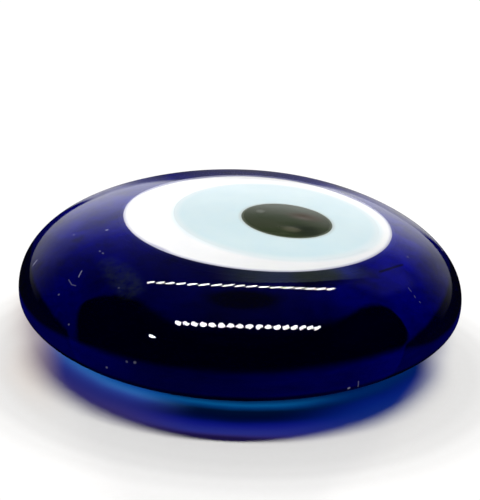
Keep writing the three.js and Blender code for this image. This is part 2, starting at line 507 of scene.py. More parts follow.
def painted_inner_glow(nd, pos):
    """Painted glow: the blue light that gathers inside the cobalt, painted as emission at each place on its skin. It
    is painted bright where the dome looks down to the lit sheet and painted black where it looks at the shaded drops."""
    u, z = front_angle(nd, pos)
    turn = lambda a: (a + 180.0) / 360.0
    fan = lambda a: (a + 60.0) / 120.0
    by_u = nd.ramp(
        nd.remap(u, -180, 180),
        [(0.0, 0.30), (turn(-150), 0.42), (turn(-130), 0.75), (turn(-85), 0.90), (turn(-70), 0.92), (turn(-60), 0.70), (turn(-50), 0.42), (turn(-40), 0.32), (turn(-28), 0.20), (turn(-12), 0.13), (turn(0), 0.10), (turn(12), 0.15), (turn(24), 0.27), (turn(34), 0.50), (turn(45), 0.70), (turn(60), 1.0), (turn(72), 1.04), (turn(90), 0.85), (turn(135), 0.60), (1.0, 0.30)],
    )
    steep = nd.ramp(nd.remap(z, 4.0, 15.0), [(0.0, 0.10), (0.40, 0.20), (0.50, 0.22), (0.59, 0.28), (0.68, 0.43), (0.77, 0.70), (0.86, 0.92), (0.95, 1.0), (1.0, 1.0)])
    gentle = nd.ramp(nd.remap(z, 4.0, 15.0), [(0.0, 0.25), (0.64, 0.42), (0.73, 0.62), (0.83, 0.82), (0.95, 1.0)])
    side = nd.remap(nd.math("ABSOLUTE", u), 25, 50, 0.0, 1.0, smooth=True)
    base = nd.math("MULTIPLY", nd.math("MULTIPLY", by_u, nd.mixf(side, gentle, steep)), 0.2)
    # painted light: a brighter flank just outside each end of the painted dark shape
    painted_flank_light = nd.ramp(nd.remap(nd.math("ABSOLUTE", u), 0, 120), [(0.0, 0.0), (0.28, 0.0), (0.36, 0.030), (0.42, 0.036), (0.50, 0.014), (0.60, 0.0), (1.0, 0.0)], "B_SPLINE")
    base = nd.math("ADD", base, nd.math("MULTIPLY", painted_flank_light, nd.remap(z, 12.6, 10.5, 0.0, 1.0, smooth=True)))
    # clouds and thin veils of lighter and darker blue across the painted glow
    cloud = nd.noise(nd.vmath("MULTIPLY", pos, (1, 1, 1.6)), 0.16, 4.0, 0.62, 0.4)
    veil = nd.noise(nd.vmath("MULTIPLY", pos, (1, 1, 2.0)), 0.55, 3.0, 0.6, 0.8)
    mottled = nd.math("ADD", nd.remap(cloud, 0.3, 0.7, 0.55, 1.4), nd.remap(veil, 0.35, 0.7, -0.18, 0.20))
    base = nd.math("MULTIPLY", base, mottled)

    # painted shade: the shaded drops are painted as a dark shape with a round lobe at each end
    top = nd.ramp(
        nd.remap(u, -60, 60),
        [(0.0, 0.30), (0.158, 0.34), (0.163, 0.60), (0.170, 0.664), (0.185, 0.700), (0.203, 0.722), (0.222, 0.742), (0.245, 0.751), (0.272, 0.750), (0.30, 0.741), (0.325, 0.725), (0.352, 0.704), (0.372, 0.694), (0.42, 0.700), (0.50, 0.712), (0.58, 0.711), (0.66, 0.697), (0.70, 0.690), (0.73, 0.706), (0.765, 0.725), (0.795, 0.727), (0.82, 0.715), (0.84, 0.675), (0.849, 0.60), (0.853, 0.34), (1.0, 0.30)],
    )
    wob = nd.math("MULTIPLY", nd.math("SUBTRACT", nd.noise(pos, 0.35, 3.0), 0.5), 0.4)
    top_z = nd.math("ADD", nd.math("MULTIPLY", top, 16.0), wob)
    soft = nd.remap(nd.math("ABSOLUTE", nd.math("ADD", u, -2.0)), 10, 26, 0.70, 0.26)
    below_top = nd.remap(nd.math("DIVIDE", nd.math("SUBTRACT", top_z, z), soft), -1.0, 1.0, 0.0, 1.0, smooth=True)
    low = nd.ramp(nd.remap(u, -60, 60), [(0.0, 0.40), (fan(-36), 0.395), (fan(-29), 0.395), (fan(-18), 0.42), (fan(-5), 0.452), (fan(24), 0.456), (fan(34), 0.445), (fan(42), 0.43), (1.0, 0.43)])
    low_z = nd.math("ADD", nd.math("MULTIPLY", low, 16.0), nd.math("MULTIPLY", wob, 0.6))
    above_low = nd.remap(nd.math("SUBTRACT", z, low_z), -0.5, 0.5, 0.0, 1.0, smooth=True)
    shade = nd.math("MULTIPLY", below_top, above_low)
    end_l = nd.ramp(nd.remap(z, 4.0, 12.0), [(0.0, 0.45), (0.275, 0.56), (0.4625, 0.73), (0.6625, 0.94), (0.75, 1.0), (0.8125, 1.02), (1.0, 1.02)])
    end_r = nd.ramp(nd.remap(z, 4.0, 12.0), [(0.0, 0.40), (0.3375, 0.76), (0.45, 1.12), (0.6625, 1.32), (0.825, 1.30), (1.0, 1.2)])
    shade = nd.math("MULTIPLY", shade, nd.remap(nd.math("ADD", u, nd.remap(end_l, 0.0, 1.0, 30.0, 40.0)), -0.9, 0.9, 0.0, 1.0, smooth=True))
    shade = nd.math("MULTIPLY", shade, nd.remap(nd.math("SUBTRACT", nd.remap(nd.math("MULTIPLY", end_r, 0.5), 0.0, 1.0, 30.0, 50.0), u), -0.9, 0.9, 0.0, 1.0, smooth=True))
    # painted shade: a small dark spot in the painted light between the lobes
    painted_dark_spot = nd.vmath("LENGTH", nd.vmath("MULTIPLY", nd.vmath("SUBTRACT", pos, (0.4, -26.85, 12.85)), (0.21, 0.25, 1.7)))
    shade = nd.math("MAXIMUM", shade, nd.remap(painted_dark_spot, 1.25, 0.7, 0.0, 0.95, smooth=True))
    # and painted shade on a dull place between the near end of the white drop and the light to its right
    painted_dull_shade = nd.math("MULTIPLY", nd.math("MULTIPLY", nd.remap(u, 14, 22, 0.0, 1.0, smooth=True), nd.remap(u, 39, 32, 0.0, 1.0, smooth=True)), nd.remap(z, 12.9, 13.5, 0.0, 0.8, smooth=True))
    shade = nd.math("MAXIMUM", shade, painted_dull_shade)
    lit = nd.math("MULTIPLY", base, nd.math("SUBTRACT", 1.0, nd.math("MULTIPLY", shade, 0.995)))
    # painted shade: low on the flanks, where the glass looks along the sheet to the dark beyond it
    line = nd.ramp(nd.remap(nd.math("ABSOLUTE", u), 0, 180), [(0.0, 0.0), (0.20, 0.25), (0.222, 0.455), (0.278, 0.520), (0.333, 0.560), (0.389, 0.590), (0.444, 0.60), (0.50, 0.56), (0.70, 0.50), (1.0, 0.48)])
    past = nd.remap(nd.math("SUBTRACT", z, nd.math("ADD", nd.math("MULTIPLY", line, 16.0), nd.math("MULTIPLY", wob, 0.8))), -0.35, 0.25, 0.06, 1.0, smooth=True)
    lit = nd.math("MULTIPLY", lit, past)

    # painted glow: a navy band round the foot of the front, under the painted dark shape
    band_u = nd.ramp(nd.remap(u, -80, 80), [(0.0, 1.2), (0.06, 2.2), (0.125, 1.9), (0.19, 1.1), (0.25, 1.1), (0.31, 0.8), (0.37, 0.36), (0.45, 0.34), (0.50, 0.52), (0.57, 0.72), (0.69, 0.78), (0.75, 1.0), (0.82, 1.1), (0.875, 1.3), (0.94, 2.4), (1.0, 1.2)])
    band_top = nd.ramp(nd.remap(u, -80, 80), [(0.0, 0.33), (0.06, 0.335), (0.125, 0.345), (0.19, 0.36), (0.25, 0.395), (0.31, 0.425), (0.38, 0.436), (0.69, 0.436), (0.75, 0.420), (0.81, 0.355), (0.875, 0.335), (0.94, 0.345), (1.0, 0.33)])
    drop = nd.math("SUBTRACT", nd.math("MULTIPLY", band_top, 16.0), z)
    band_z = nd.math("MULTIPLY", nd.remap(drop, -0.35, 0.55, 0.0, 1.0, smooth=True), nd.remap(z, 3.65, 4.1, 0.0, 1.0, smooth=True))
    streak = nd.noise(nd.vmath("MULTIPLY", pos, (0.35, 0.35, 1.8)), 0.5, 3.0, 0.6)
    band = nd.math("MULTIPLY", nd.math("MULTIPLY", band_u, band_z), nd.remap(streak, 0.3, 0.7, 0.024, 0.046))
    return nd.math("ADD", lit, band)


def cobalt_material():
    m, nd = new_material("cobalt_glass")
    pos = object_mm(nd)
    u, z = front_angle(nd, pos)
    under = nd.remap(z, 3.2, 1.0, 0.0, 1.0, smooth=True)
    # fine ripple of the fire-polished skin, and the chilled texture of the pressed under side
    fine = nd.noise(pos, 0.35, 3.0, 0.55)
    grain = nd.noise(pos, 2.2, 5.0, 0.7)
    nick = near(nd, pos, MARKS)
    thread = near(nd, pos, THREADS)
    h = nd.math("ADD", nd.math("MULTIPLY", fine, 0.0004), nd.math("MULTIPLY", nd.math("MULTIPLY", grain, under), 0.05))
    h = nd.math("SUBTRACT", h, nd.math("MULTIPLY", nick, 0.03))
    normal = nd.bump(h, 1.0, 0.001)
    smudge = nd.noise(pos, 0.16, 4.0, 0.6)
    rough = nd.math("ADD", nd.remap(smudge, 0.45, 0.75, 0.004, 0.010), nd.math("MULTIPLY", under, 0.22))
    back = nd.new("ShaderNodeNewGeometry").outputs["Backfacing"]
    outside = nd.math("SUBTRACT", 1.0, back)
    painted_glow = nd.math("MULTIPLY", painted_inner_glow(nd, pos), nd.math("SUBTRACT", 1.0, thread))
    # painted glow: a faint extra glow where the skin is seen edge-on
    facing = nd.new("ShaderNodeLayerWeight")
    facing.inputs["Blend"].default_value = 0.5
    edge = nd.remap(facing.outputs["Facing"], 0.93, 1.0, 0.0, 0.03, smooth=True)
    haze = nd.math("MULTIPLY", near(nd, pos, SCUFF), nd.remap(nd.noise(pos, 1.1, 5.0, 0.75, 0.5), 0.36, 0.66, 0.05, 1.0))
    painted_glow = nd.math("MULTIPLY", nd.math("ADD", painted_glow, edge), nd.math("MULTIPLY", outside, nd.math("SUBTRACT", 1.0, nd.math("MULTIPLY", haze, 0.45))))
    dust = nd.math("MULTIPLY", nick, nd.math("MULTIPLY", outside, 0.17))
    dust = nd.math("ADD", dust, nd.math("MULTIPLY", haze, nd.math("MULTIPLY", outside, 0.008)))
    # painted glow: the foot and the under side are painted as if lit through from above, for camera rays only, as seen
    # by anyone who turns the charm over
    seen = nd.new("ShaderNodeLightPath").outputs["Is Camera Ray"]
    drawn = nd.vmath("LENGTH", nd.vmath("MULTIPLY", pos, (1 / RIM_RADIUS, 1 / RIM_RADIUS, 0)))
    painted_foot_glow = nd.mixf(nd.remap(drawn, 0.45, 0.95, 0.0, 1.0, smooth=True), 0.055, 0.16)
    painted_foot_glow = nd.math("MULTIPLY", painted_foot_glow, nd.remap(nd.noise(pos, 0.14, 4.0, 0.6, 0.5), 0.3, 0.7, 0.65, 1.3))
    painted_foot_glow = nd.math("MULTIPLY", nd.math("MULTIPLY", painted_foot_glow, nd.math("MULTIPLY", seen, outside)), nd.remap(z, 3.0, 2.0, 0.0, 1.0, smooth=True))
    painted_glow = nd.math("ADD", painted_glow, painted_foot_glow)
    # emission colour: the painted glow plus the pale marks of nicks, dust and the scuff
    painted_glow_and_dust = nd.new("ShaderNodeCombineColor")
    nd.put(painted_glow_and_dust.inputs[0], dust)
    nd.put(painted_glow_and_dust.inputs[1], nd.math("ADD", dust, nd.math("MULTIPLY", haze, 0.003)))
    nd.put(painted_glow_and_dust.inputs[2], nd.math("ADD", nd.math("MULTIPLY", dust, 1.25), painted_glow))
    glass = principled(
        nd,
        **{
            "Base Color": (1, 1, 1),
            "Roughness": rough,
            "IOR": GLASS_IOR,
            "Transmission Weight": 1.0,
            "Normal": normal,
            "Emission Color": painted_glow_and_dust.outputs[0],
            "Emission Strength": 1.0,
        },
    )
    # Painted light pool: light going straight through is given a painted colour set by how near the rim it passes: a
    # bright cyan line that stands for the light the thick edge gathers, a dark band outside that, and violet-blue at
    # the very rim.
    flat = nd.vmath("MULTIPLY", pos, (1, 1, 0))
    az = nd.math("MULTIPLY", nd.math("SUBTRACT", u, 90.0), math.pi / 180)
    lob = nd.math("ADD", 1.0, nd.math("ADD", nd.math("MULTIPLY", nd.math("COSINE", nd.math("MULTIPLY", az, 2.0)), -0.02), nd.math("MULTIPLY", nd.math("SINE", nd.math("MULTIPLY", az, 3.0)), -0.008)))
    rho = nd.math("DIVIDE", nd.vmath("LENGTH", flat), nd.math("MULTIPLY", lob, RIM_RADIUS))
    ripple = nd.math("MULTIPLY", nd.math("SUBTRACT", nd.noise(pos, 0.30, 3.0, 0.6), 0.5), 0.016)
    w = nd.remap(nd.math("ADD", rho, ripple), 0.75, 1.0)
    at = lambda r: (r - 0.75) / 0.25
    front = nd.ramp(w, [(0.0, (0, 0.002, 0.02)), (at(0.80), (0, 0.012, 0.06)), (at(0.835), (0.001, 0.045, 0.17)), (at(0.852), (0.002, 0.115, 0.35)), (at(0.868), (0.0006, 0.046, 0.195)), (at(0.886), (0, 0.0060, 0.033)), (at(0.915), (0, 0.003, 0.032)), (at(0.933), (0, 0.004, 0.066)), (at(0.948), (0.0025, 0.007, 0.205)), (at(0.963), (0.009, 0.014, 0.276)), (at(0.980), (0.021, 0.030, 0.30)), (at(0.990), (0.028, 0.036, 0.31)), (at(0.997), (0.035, 0.025, 0.19)), (1.0, (0.015, 0.008, 0.07))])
    left = nd.ramp(w, [(0.0, (0, 0.002, 0.02)), (at(0.83), (0, 0.006, 0.04)), (at(0.85), (0.006, 0.08, 0.40)), (at(0.87), (0.018, 0.15, 0.52)), (at(0.886), (0.040, 0.16, 0.54)), (at(0.90), (0.030, 0.08, 0.42)), (at(0.917), (0.024, 0.042, 0.30)), (at(0.94), (0.022, 0.026, 0.235)), (at(0.96), (0.03, 0.03, 0.22)), (at(0.98), (0.045, 0.035, 0.22)), (1.0, (0.05, 0.035, 0.15))])
    right = nd.ramp(w, [(0.0, (0, 0.004, 0.04)), (at(0.83), (0, 0.008, 0.08)), (at(0.85), (0, 0.020, 0.13)), (at(0.868), (0, 0.026, 0.17)), (at(0.885), (0, 0.020, 0.13)), (at(0.90), (0, 0.012, 0.15)), (at(0.917), (0.001, 0.013, 0.215)), (at(0.94), (0.002, 0.020, 0.25)), (at(0.96), (0.004, 0.026, 0.25)), (at(0.98), (0.010, 0.036, 0.26)), (1.0, (0.02, 0.025, 0.15))])
    painted_pool_tint = nd.mix(nd.remap(u, -8, -26, 0.0, 1.0, smooth=True), front, left)
    painted_pool_tint = nd.mix(nd.remap(u, 8, 34, 0.0, 1.0, smooth=True), painted_pool_tint, right)
    lower = nd.math("LESS_THAN", z, RIM_HEIGHT + 0.02)
    painted_pool_tint = nd.mix(lower, (1, 1, 1), painted_pool_tint)
    straight = nd.new("ShaderNodeBsdfTransparent")
    nd.put(straight.inputs["Color"], painted_pool_tint)
    path = nd.new("ShaderNodeLightPath")
    mixer = nd.new("ShaderNodeMixShader")
    nd.put(mixer.inputs[0], path.outputs["Is Shadow Ray"])
    nd.t.links.new(glass.outputs[0], mixer.inputs[1])
    nd.t.links.new(straight.outputs[0], mixer.inputs[2])
    vol = nd.new("ShaderNodeVolumeAbsorption")
    top = max(ABSORB)
    nd.put(vol.inputs["Color"], tuple(1 - a / top for a in ABSORB))
    dens = nd.math("MULTIPLY", nd.math("SUBTRACT", 1.0, path.outputs["Is Shadow Ray"]), top)
    nd.put(vol.inputs["Density"], dens)
    out_node(nd, mixer.outputs[0], vol.outputs[0])
    return m


def fused_clear():
    """The cobalt's side of a fused joint: glass on glass, so light crosses it unbent."""
    m, nd = new_material("cobalt_fused_face")
    pos = object_mm(nd)
    n = nd.noise(pos, 0.8, 3.0)
    t = nd.new("ShaderNodeBsdfTransparent")
    nd.put(t.inputs["Color"], nd.mix(nd.remap(n, 0.4, 0.7), (1, 1, 1), (0.97, 0.98, 1.0)))
    out_node(nd, t.outputs[0])
    return m


# ------------------------------------------------------------------ opal glasses
def white_materials():
    m, nd = new_material("white_glass")
    pos = object_mm(nd)
    s = share_of(nd, pos, WHITE)
    wob = nd.math("MULTIPLY", nd.math("SUBTRACT", nd.noise(pos, 0.22, 3.0), 0.5), 0.012)
    s = nd.math("ADD", s, wob)
    cloud = nd.noise(pos, 0.18, 4.0, 0.6)
    body = nd.mix(nd.remap(cloud, 0.35, 0.7), (0.955, 0.955, 0.955), (0.91, 0.915, 0.93))
    # the last half millimetre has blue glass washed over it
    sep = nd.new("ShaderNodeSeparateXYZ")
    nd.put(sep.inputs[0], pos)
    behind = nd.remap(sep.outputs["Y"], 2.0, 18.0, 0.0, 1.0, smooth=True)
    washed = nd.math("ADD", s, nd.math("MULTIPLY", behind, 0.050))
    # a dent in the edge, where the blue lapped over it
    off = nd.vmath("LENGTH", nd.vmath("SUBTRACT", pos, (-11.4, -15.0, 14.6)))
    washed = nd.math("ADD", washed, nd.remap(off, 3.0, 0.4, 0.0, 0.012, smooth=True))
    film = nd.remap(washed, 0.968, 1.003, 0.0, 1.0, smooth=True)
    col = nd.mix(nd.math("MULTIPLY", film, nd.mixf(behind, 0.66, 0.97)), body, nd.mix(behind, (0.20, 0.20, 0.42), (0.02, 0.02, 0.20)))
    # pale blue bleeds a little into the white along the iris
    si = share_of(nd, pos, IRIS)
    si = nd.math("ADD", si, wob)
    bleed = nd.remap(si, 1.065, 1.0, 0.0, 0.58, smooth=True)
    col = nd.mix(bleed, col, (0.72, 0.86, 0.90))
    # painted shade: the white is painted greyer towards the back
    col = nd.mix(nd.remap(sep.outputs["Y"], 6.0, 19.0, 0.0, 0.26, smooth=True), col, (0.45, 0.46, 0.50))
    fine = nd.noise(pos, 0.35, 3.0, 0.55)
    normal = nd.bump(nd.math("MULTIPLY", fine, 0.004), 1.0, 0.001)
    rough = nd.remap(nd.noise(pos, 0.16, 4.0, 0.6), 0.45, 0.75, 0.03, 0.06)
    # painted light: a faint white glow painted on the left of the white, fading out towards +X
    p = principled(nd, **{"Base Color": col, "Roughness": rough, "IOR": GLASS_IOR, "Specular IOR Level": 0.40, "Emission Color": (1, 1, 1), "Emission Strength": nd.remap(sep.outputs["X"], 6.0, -8.0, 0.0, 0.11, smooth=True), "Normal": normal, "Subsurface Weight": 0.25, "Subsurface Radius": (1.0, 1.0, 1.1), "Subsurface Scale": 0.0012})
    out_node(nd, p.outputs[0])

    # painted shade: the white's buried faces are coloured near black, as they look in shade inside the cobalt
    w, nd = new_material("white_fused_face_painted_shade")
    pos = object_mm(nd)
    cloud = nd.noise(pos, 0.3, 4.0, 0.6)
    p = principled(nd, **{"Base Color": nd.mix(nd.remap(cloud, 0.35, 0.7), (0.035, 0.035, 0.06), (0.02, 0.02, 0.045)), "Roughness": 0.6, "Specular IOR Level": 0.0})
    out_node(nd, p.outputs[0])
    return m, w


def iris_materials():
    m, nd = new_material("pale_blue_glass")
    pos = object_mm(nd)
    s = share_of(nd, pos, IRIS)
    wob = nd.math("MULTIPLY", nd.math("SUBTRACT", nd.noise(pos, 0.3, 3.0), 0.5), 0.02)
    s = nd.math("ADD", s, wob)
    cloud = nd.noise(pos, 0.15, 4.0, 0.6)
    body = nd.mix(nd.remap(cloud, 0.35, 0.7), (0.70, 0.845, 0.875), (0.66, 0.825, 0.875))
    edge_mix = nd.remap(s, 0.91, 1.0, 0.0, 0.68, smooth=True)
    col = nd.mix(edge_mix, body, (0.84, 0.90, 0.92))
    sp = share_of(nd, pos, PUPIL)
    halo = nd.remap(sp, 1.10, 1.0, 0.0, 0.5, smooth=True)
    col = nd.mix(halo, col, (0.45, 0.48, 0.44))
    # the drop is deeper in colour towards the back
    sep = nd.new("ShaderNodeSeparateXYZ")
    nd.put(sep.inputs[0], pos)
    deep = nd.remap(sep.outputs["Y"], -13.0, 12.0, 1.03, 0.82)
    col = nd.mix(1.0, col, deep, "MULTIPLY")
    fine = nd.noise(pos, 0.35, 3.0, 0.55)
    normal = nd.bump(nd.math("MULTIPLY", fine, 0.004), 1.0, 0.001)
    p = principled(nd, **{"Base Color": col, "Roughness": 0.045, "IOR": GLASS_IOR, "Specular IOR Level": 0.33, "Normal": normal, "Subsurface Weight": 0.2, "Subsurface Radius": (1.0, 1.0, 1.1), "Subsurface Scale": 0.001})
    out_node(nd, p.outputs[0])

    w, nd = new_material("pale_blue_fused_face")
    pos = object_mm(nd)
    cloud = nd.noise(pos, 0.3, 4.0, 0.6)
    p = principled(nd, **{"Base Color": nd.mix(cloud, (0.62, 0.78, 0.83), (0.56, 0.72, 0.8)), "Roughness": 0.6, "Specular IOR Level": 0.0})
    out_node(nd, p.outputs[0])
    return m, w


def pupil_materials():
    m, nd = new_material("dark_glass")
    pos = object_mm(nd)
    sp = share_of(nd, pos, PUPIL)
    streak = nd.noise(nd.vmath("MULTIPLY", pos, (0.25, 0.7, 0.3)), 0.7, 5.0, 0.6, 0.6)
    body = nd.mix(nd.remap(streak, 0.35, 0.7), (0.020, 0.032, 0.010), (0.030, 0.037, 0.017))
    # the glass ran thin and brown round the burst bubble; the black spot beside the ridge is painted shade, the
    # lighter patch on the ridge a painted highlight, and the grey patch towards the back left a painted reflection
    at = lambda c, k: nd.vmath("LENGTH", nd.vmath("MULTIPLY", nd.vmath("SUBTRACT", pos, c), k))
    body = nd.mix(nd.remap(at((9.4, -2.7, 15.5), (0.36, 0.62, 0)), 1.4, 0.3, 0.0, 0.85, smooth=True), body, (0.046, 0.026, 0.012))
    body = nd.mix(nd.remap(at((9.3, -7.9, 15.3), (0.34, 0.46, 0)), 1.3, 0.3, 0.0, 0.85, smooth=True), body, (0.006, 0.011, 0.004))
    body = nd.mix(nd.remap(at((7.1, -8.0, 15.4), (0.7, 1.25, 0)), 1.4, 0.3, 0.0, 0.85, smooth=True), body, (0.085, 0.083, 0.052))
    body = nd.mix(nd.remap(at((2.5, -2.2, 15.8), (1.3, 1.3, 0)), 1.3, 0.3, 0.0, 0.6, smooth=True), body, (0.13, 0.14, 0.12))
    rim = nd.remap(nd.math("ADD", sp, nd.math("MULTIPLY", nd.math("SUBTRACT", streak, 0.5), 0.03)), 0.92, 1.0, 0.0, 1.0, smooth=True)
    col = nd.mix(nd.math("MULTIPLY", rim, 0.5), body, (0.15, 0.17, 0.13))
    fine = nd.noise(pos, 0.5, 3.0, 0.55)
    normal = nd.bump(nd.math("MULTIPLY", fine, 0.010), 1.0, 0.001)
    p = principled(nd, **{"Base Color": col, "Roughness": nd.remap(streak, 0.3, 0.7, 0.14, 0.26), "IOR": GLASS_IOR, "Specular IOR Level": 0.27, "Specular Tint": (0.93, 1.0, 0.84, 1.0), "Normal": normal})
    out_node(nd, p.outputs[0])

    w, nd = new_material("dark_fused_face")
    pos = object_mm(nd)
    p = principled(nd, **{"Base Color": nd.mix(nd.noise(pos, 0.5, 3.0), (0.04, 0.042, 0.03), (0.06, 0.055, 0.045)), "Roughness": 0.6, "Specular IOR Level": 0.0})
    out_node(nd, p.outputs[0])
    return m, w


for ob, mats in (
    (cobalt, (cobalt_material(), fused_clear())),
    (white, white_materials()),
    (iris, iris_materials()),
    (pupil, pupil_materials()),
):
    for mt in mats:
        ob.data.materials.append(mt)

# ------------------------------------------------------------------ the light box
R = RIM_RADIUS * MM
CEILING = 4.93 * R


def stage_mesh(name, verts, faces, mat):
    me = bpy.data.meshes.new(name)
    me.from_pydata(verts, [], faces)
    me.update()
    ob = bpy.data.objects.new(name, me)
    bpy.context.scene.collection.objects.link(ob)
    me.materials.append(mat)
    return ob


def back_edge(nd, side):
    """How bright the lit strip along the back of the sheet looks at each bearing, in degrees from +Y."""
    by = lambda a: (a + 40.0) / 80.0
    return nd.ramp(nd.remap(side, -40, 40), [(0.0, 0.0), (by(-17.5), 0.0), (by(-16), 0.50), (by(-12.5), 0.55), (by(-10), 0.16), (by(-7), 0.03), (by(-4), 0.08), (by(0), 0.12), (by(5), 0.11), (by(7.5), 0.15), (by(9.5), 0.30), (by(12), 0.48), (by(15), 0.62), (by(19), 0.62), (by(21), 0.40), (by(23), 0.0), (1.0, 0.0)])


def floor_material():
    m, nd = new_material("white_sheet")
    tc = nd.new("ShaderNodeTexCoord")
    pos = nd.vmath("SCALE", tc.outputs["Object"], scale=1000.0)
    n = nd.noise(pos, 0.9, 5.0, 0.7)
    # painted shade: the sheet is painted a little greyer close in front of the glass, where the box lights it least
    d = nd.vmath("LENGTH", nd.vmath("MULTIPLY", nd.vmath("SUBTRACT", pos, (0, -0.5 * RIM_RADIUS, 0)), (1 / (1.1 * RIM_RADIUS), 1 / (0.85 * RIM_RADIUS), 0)))
    painted_shade_tone = nd.ramp(nd.remap(d, 0.6, 1.3), [(0.0, 0.70), (0.2, 0.70), (0.36, 0.745), (0.47, 0.80), (0.57, 0.90), (0.70, 0.985), (1.0, 1.0)], "EASE")
    col = nd.mix(nd.remap(n, 0.3, 0.7), (0.955, 0.950, 0.945), (0.94, 0.932, 0.922))
    col = nd.mix(1.0, col, painted_shade_tone, "MULTIPLY")
    sheet = nd.new("ShaderNodeBsdfDiffuse")
    nd.put(sheet.inputs["Color"], col)
    # painted light: emission painted on the sheet at either flank stands for light the box's pale sides send in under
    # the rim, and eats into the shadow there
    u, _ = front_angle(nd, pos)
    turn = lambda a: (a + 180.0) / 360.0
    radius = nd.vmath("LENGTH", nd.vmath("MULTIPLY", pos, (1 / RIM_RADIUS, 1 / RIM_RADIUS, 0)))
    reach = nd.ramp(nd.remap(u, -180, 180), [(0.0, 0.45), (turn(-90), 0.45), (turn(-70), 0.465), (turn(-60), 0.478), (turn(-50), 0.528), (turn(-40), 0.566), (turn(-30), 0.592), (turn(-18), 0.70), (turn(0), 0.90), (turn(14), 0.69), (turn(30), 0.574), (turn(40), 0.538), (turn(50), 0.510), (turn(60), 0.470), (turn(75), 0.45), (1.0, 0.45)])
    width = nd.math("ADD", nd.remap(u, -20, 20, 0.130, 0.092), nd.remap(u, -38, -52, 0.0, 0.045, smooth=True))
    painted_flank_light = nd.remap(nd.math("DIVIDE", nd.math("SUBTRACT", radius, nd.math("MULTIPLY", reach, 2.0)), width), -1.0, 1.0, 0.0, 1.0, smooth=True)
    painted_side_light = nd.new("ShaderNodeEmission")
    warm = nd.mix(nd.remap(painted_flank_light, 0.1, 1.0), (0.92, 0.70, 0.55), (1, 1, 1))
    warm = nd.mix(nd.remap(u, -28, -48, 0.0, 1.0, smooth=True), (1, 1, 1), warm)
    nd.put(painted_side_light.inputs["Color"], nd.mix(1.0, col, warm, "MULTIPLY"))
    nd.put(painted_side_light.inputs["Strength"], 1.11)
    # painted reflection: mirrored in the glass the sheet is painted dark, with a painted lit strip of the box's back
    # edge, as if beyond a small sheet the box were black
    dark = nd.new("ShaderNodeEmission")
    geo = nd.new("ShaderNodeNewGeometry")
    go = nd.new("ShaderNodeSeparateXYZ")
    nd.put(go.inputs[0], nd.vmath("SCALE", geo.outputs["Incoming"], scale=-1.0))
    side = nd.math("MULTIPLY", nd.math("ARCTAN2", go.outputs["X"], go.outputs["Y"]), 180 / math.pi)
    strip = nd.math("MULTIPLY", back_edge(nd, side), nd.remap(go.outputs["Z"], -0.26, -0.20, 0.0, 1.0, smooth=True))
    nd.put(dark.inputs["Strength"], nd.math("ADD", strip, 0.003))
    far = nd.new("ShaderNodeEmission")
    nd.put(far.inputs["Color"], (1, 1, 1))
    nd.put(far.inputs["Strength"], 1.05)
    path = nd.new("ShaderNodeLightPath")
    out = nd.new("ShaderNodeMixShader")
    away = nd.vmath("LENGTH", nd.vmath("MULTIPLY", pos, (1 / RIM_RADIUS, 1 / RIM_RADIUS, 0)))
    nd.put(out.inputs[0], nd.remap(away, 1.9, 3.2, 0.0, 1.0, smooth=True))
    lit = nd.new("ShaderNodeMixShader")
    nd.put(lit.inputs[0], painted_flank_light)
    nd.t.links.new(sheet.outputs[0], lit.inputs[1])
    nd.t.links.new(painted_side_light.outputs[0], lit.inputs[2])
    nd.t.links.new(lit.outputs[0], out.inputs[1])
    nd.t.links.new(far.outputs[0], out.inputs[2])
    mx = nd.new("ShaderNodeMixShader")
    nd.put(mx.inputs[0], path.outputs["Is Glossy Ray"])
    nd.t.links.new(out.outputs[0], mx.inputs[1])
    nd.t.links.new(dark.outputs[0], mx.inputs[2])
    # seen from below the sheet is left out, so the foot can be looked at
    clear = nd.new("ShaderNodeBsdfTransparent")
    both = nd.new("ShaderNodeMixShader")
    nd.put(both.inputs[0], geo.outputs["Backfacing"])
    nd.t.links.new(mx.outputs[0], both.inputs[1])
    nd.t.links.new(clear.outputs[0], both.inputs[2])
    out_node(nd, both.outputs[0])
    return m


F = 3.0
floor = stage_mesh("sheet", [(-F, -F, 0), (F, -F, 0), (F, F, 0), (-F, F, 0)], [(0, 1, 2, 3)], floor_material())


def emitter(name, colour, strength):
    m, nd = new_material(name)
    e = nd.new("ShaderNodeEmission")
    nd.put(e.inputs["Color"], colour)
    nd.put(e.inputs["Strength"], strength)
    out_node(nd, e.outputs[0])
    return m


def lamp_strip(name, x0, y0, slope, pitch, count, strength, half, thick, pointed=False):
    """One strip of small lamps under the ceiling, seen only in reflections. Each lamp is a short bar
    from -half to +half, in radii, rounded or drawn to points by its glare."""
    verts, faces = [], []
    for k in range(count):
        cx = x0 + k * pitch
        cy = y0 + slope * cx
        hx, hy = half
        grow = 0.99 + 0.02 * rng.random()
        i = len(verts)
        steps = 6
        for q in range(steps + 1):
            t = -1 + 2 * q / steps
            w = thick * (max(0.05, 1 - abs(t)) if pointed else math.sqrt(max(0.08, 1 - t * t)))
            for sgn in (-1, 1):
                verts.append(((cx + hx * t * grow) * R, (cy + hy * t * grow + sgn * w) * R, CEILING))
        for q in range(steps):
            a = i + 2 * q
            faces.append((a + 1, a + 3, a + 2, a))
    ob = stage_mesh(name, verts, faces, emitter(name + "_light", (1.0, 0.99, 0.97), strength))
    only_reflected(ob)
    return ob


def only_reflected(ob):
    ob.visible_camera = False
    ob.visible_diffuse = False
    ob.visible_transmission = False
    ob.visible_shadow = False


